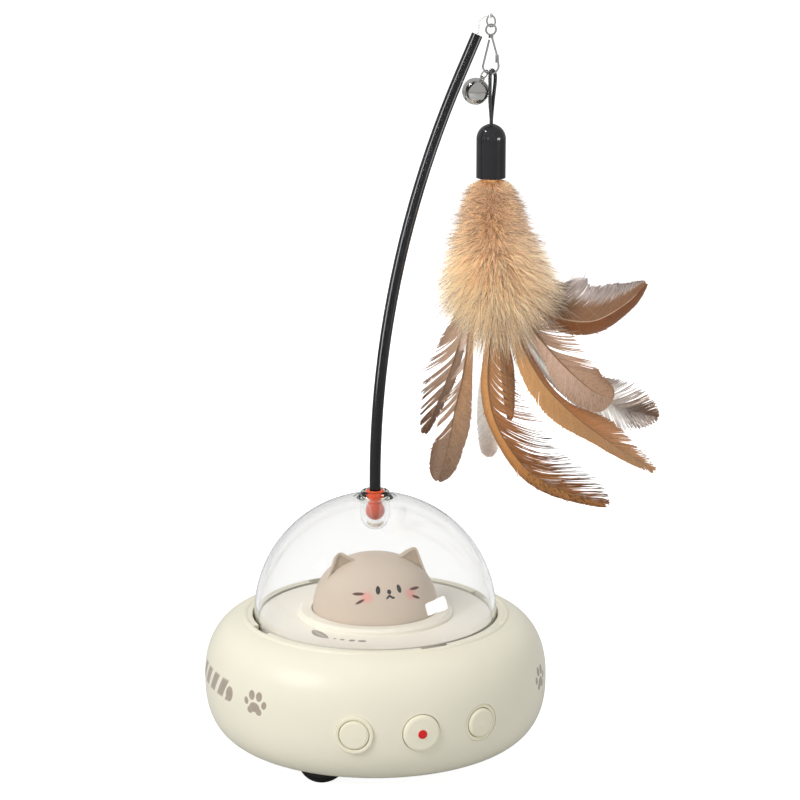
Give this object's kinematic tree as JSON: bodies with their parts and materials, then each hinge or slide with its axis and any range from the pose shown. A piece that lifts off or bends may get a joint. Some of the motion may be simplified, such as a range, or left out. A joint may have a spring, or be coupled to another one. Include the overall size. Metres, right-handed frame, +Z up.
{
  "type": "electric cat teaser",
  "caption": "Round wheeled cat toy: a cat head under a clear locking dome, a bent wand with a snap clip, a bell and a feather lure, and front push-buttons.",
  "frame": {"origin": "on the round base's vertical axis, at floor level", "axes": "+Z up; the cat and the buttons face -Y; the wand bends towards +X"},
  "size_m": [0.1694, 0.1219, 0.2581],
  "materials": {
    "cream_shell": "satin cream moulding",
    "deck_cream": "matt cream moulding",
    "cat_beige": "matt beige moulding",
    "clear_dome": "clear polished moulding",
    "battery_wrap": "printed film wrap",
    "bearing_plastic": "natural acetal",
    "motor_steel": "plated can",
    "board_green": "solder mask",
    "chip_black": "moulded black",
    "port_steel": "drawn steel",
    "screw_steel": "zinc plated",
    "led_red": "tinted lens",
    "silicone_orange": "soft silicone",
    "wand_black": "satin black",
    "clear_line": "clear nylon line",
    "clip_steel": "bright wire",
    "bell_silver": "polished plate",
    "cord_black": "woven cord",
    "wheel_black": "black moulding",
    "tyre_black": "soft rubber",
    "down_tan": "soft down",
    "feather_brown": "feather vane"
  },
  "bodies": {
    "base": {"body_shell": "cream_shell", "dome_seat": "cream_shell", "deck_plate": "deck_cream", "collar_ring": "cream_shell", "cat_head": "cat_beige", "chassis_plate": "cream_shell", "battery_door": "cream_shell", "battery_cell": "battery_wrap", "axle_bearings": "bearing_plastic", "left_motor": "motor_steel", "right_motor": "motor_steel", "main_board": "board_green", "board_screws": "screw_steel", "case_screws": "screw_steel", "board_chips": "chip_black", "button_rings": "cream_shell", "tact_switches": "chip_black", "switch_strip": "board_green", "charging_port": "port_steel"},
    "dome": {"dome": "clear_dome"},
    "wand_plug": {"wand_plug": "silicone_orange"},
    "wand": {"wand_tube": "wand_black", "tip_line": "clear_line"},
    "tip_ring": {"top_ring": "clip_steel"},
    "clip": {"snap_clip": "clip_steel"},
    "clip_arm": {"clip_arm": "clip_steel"},
    "bell": {"bell_shell": "bell_silver", "jump_ring": "clip_steel"},
    "pellet": {"bell_pellet": "clip_steel"},
    "lure": {"cord_loop": "cord_black", "lure_cap": "wand_black", "quill_core": "wand_black", "down_tuft": "down_tan", "feather_wing": "feather_brown", "feather_round": "feather_brown", "feather_long": "feather_brown", "feather_speckled": "feather_brown", "feather_left": "feather_brown", "feather_pale": "feather_brown", "feather_down": "feather_brown", "feather_back": "feather_brown"},
    "power_button": {"power_button": "cream_shell"},
    "status_button": {"status_button": "cream_shell", "status_led": "led_red"},
    "mode_button": {"mode_button": "cream_shell"},
    "left_wheel": {"left_wheel_hub": "wheel_black", "left_tyre": "tyre_black", "left_axle": "motor_steel", "left_wheel_gear": "bearing_plastic"},
    "right_wheel": {"right_wheel_hub": "wheel_black", "right_tyre": "tyre_black", "right_axle": "motor_steel", "right_wheel_gear": "bearing_plastic"},
    "left_pinion": {"left_pinion": "bearing_plastic"},
    "right_pinion": {"right_pinion": "bearing_plastic"},
    "caster": {"caster_fork": "bearing_plastic", "caster_axle": "motor_steel", "caster_clip": "motor_steel"},
    "caster_wheel": {"caster_wheel": "bearing_plastic"}
  },
  "joints": [
    {"name": "dome_twist", "type": "hinge", "parent": "base", "child": "dome", "pos_m": [0, 0, 0.05], "axis": [0, 0, 1], "range_deg": [0, 18]},
    {"name": "plug_pull", "type": "slide", "parent": "dome", "child": "wand_plug", "axis": [0, 0, 1], "range_m": [0, 0.012]},
    {"name": "wand_turn", "type": "hinge", "parent": "wand_plug", "child": "wand", "pos_m": [0, 0, 0.092], "axis": [0, 0, 1], "continuous": true},
    {"name": "ring_swing", "type": "hinge", "parent": "wand", "child": "tip_ring", "pos_m": [0.04085, 0, 0.25717], "axis": [0, 1, 0], "range_deg": [-20, 1]},
    {"name": "clip_swing", "type": "hinge", "parent": "tip_ring", "child": "clip", "pos_m": [0.04085, 0, 0.25343], "axis": [0, 1, 0], "range_deg": [-30, 1]},
    {"name": "clip_open", "type": "hinge", "parent": "clip", "child": "clip_arm", "pos_m": [0.04085, 0, 0.24985], "axis": [-1, 0, 0], "range_deg": [0, 12], "stiffness_Nm_per_rad": 0.02},
    {"name": "bell_swing", "type": "hinge", "parent": "clip_arm", "child": "bell", "pos_m": [0.03906, 0, 0.23817], "axis": [1, 0, 0], "range_deg": [-1, 40]},
    {"name": "pellet_roll", "type": "hinge", "parent": "bell", "child": "pellet", "pos_m": [0.0362, 0.0022, 0.2315], "axis": [0, 1, 0], "range_deg": [-35, 35]},
    {"name": "lure_swing", "type": "hinge", "parent": "clip_arm", "child": "lure", "pos_m": [0.0412, 0, 0.23754], "axis": [1, 0, 0], "range_deg": [-35, 1]},
    {"name": "power_press", "type": "slide", "parent": "base", "child": "power_button", "axis": [0.3681, 0.9298, 0], "range_m": [0, 0.0008], "stiffness_N_per_m": 400},
    {"name": "status_press", "type": "slide", "parent": "base", "child": "status_button", "axis": [0, 1, 0], "range_m": [0, 0.0008], "stiffness_N_per_m": 400},
    {"name": "mode_press", "type": "slide", "parent": "base", "child": "mode_button", "axis": [-0.3681, 0.9298, 0], "range_m": [0, 0.0008], "stiffness_N_per_m": 400},
    {"name": "left_wheel_spin", "type": "hinge", "parent": "base", "child": "left_wheel", "pos_m": [-0.026, -0.027, 0.009], "axis": [0, 1, 0], "continuous": true},
    {"name": "left_pinion_spin", "type": "hinge", "parent": "base", "child": "left_pinion", "pos_m": [-0.01986, -0.027, 0.0133], "axis": [0, 1, 0], "continuous": true},
    {"name": "right_wheel_spin", "type": "hinge", "parent": "base", "child": "right_wheel", "pos_m": [-0.026, 0.027, 0.009], "axis": [0, 1, 0], "continuous": true},
    {"name": "right_pinion_spin", "type": "hinge", "parent": "base", "child": "right_pinion", "pos_m": [-0.01986, 0.027, 0.0133], "axis": [0, 1, 0], "continuous": true},
    {"name": "caster_swivel", "type": "hinge", "parent": "base", "child": "caster", "pos_m": [0.033, 0, 0.015], "axis": [0, 0, 1], "continuous": true},
    {"name": "caster_roll", "type": "hinge", "parent": "caster", "child": "caster_wheel", "pos_m": [0.0295, 0, 0.0055], "axis": [0, 1, 0], "continuous": true}
  ],
  "couplings": [
    {"joint": "left_pinion_spin", "follows": "left_wheel_spin", "ratio": -2},
    {"joint": "right_pinion_spin", "follows": "right_wheel_spin", "ratio": -2}
  ]
}
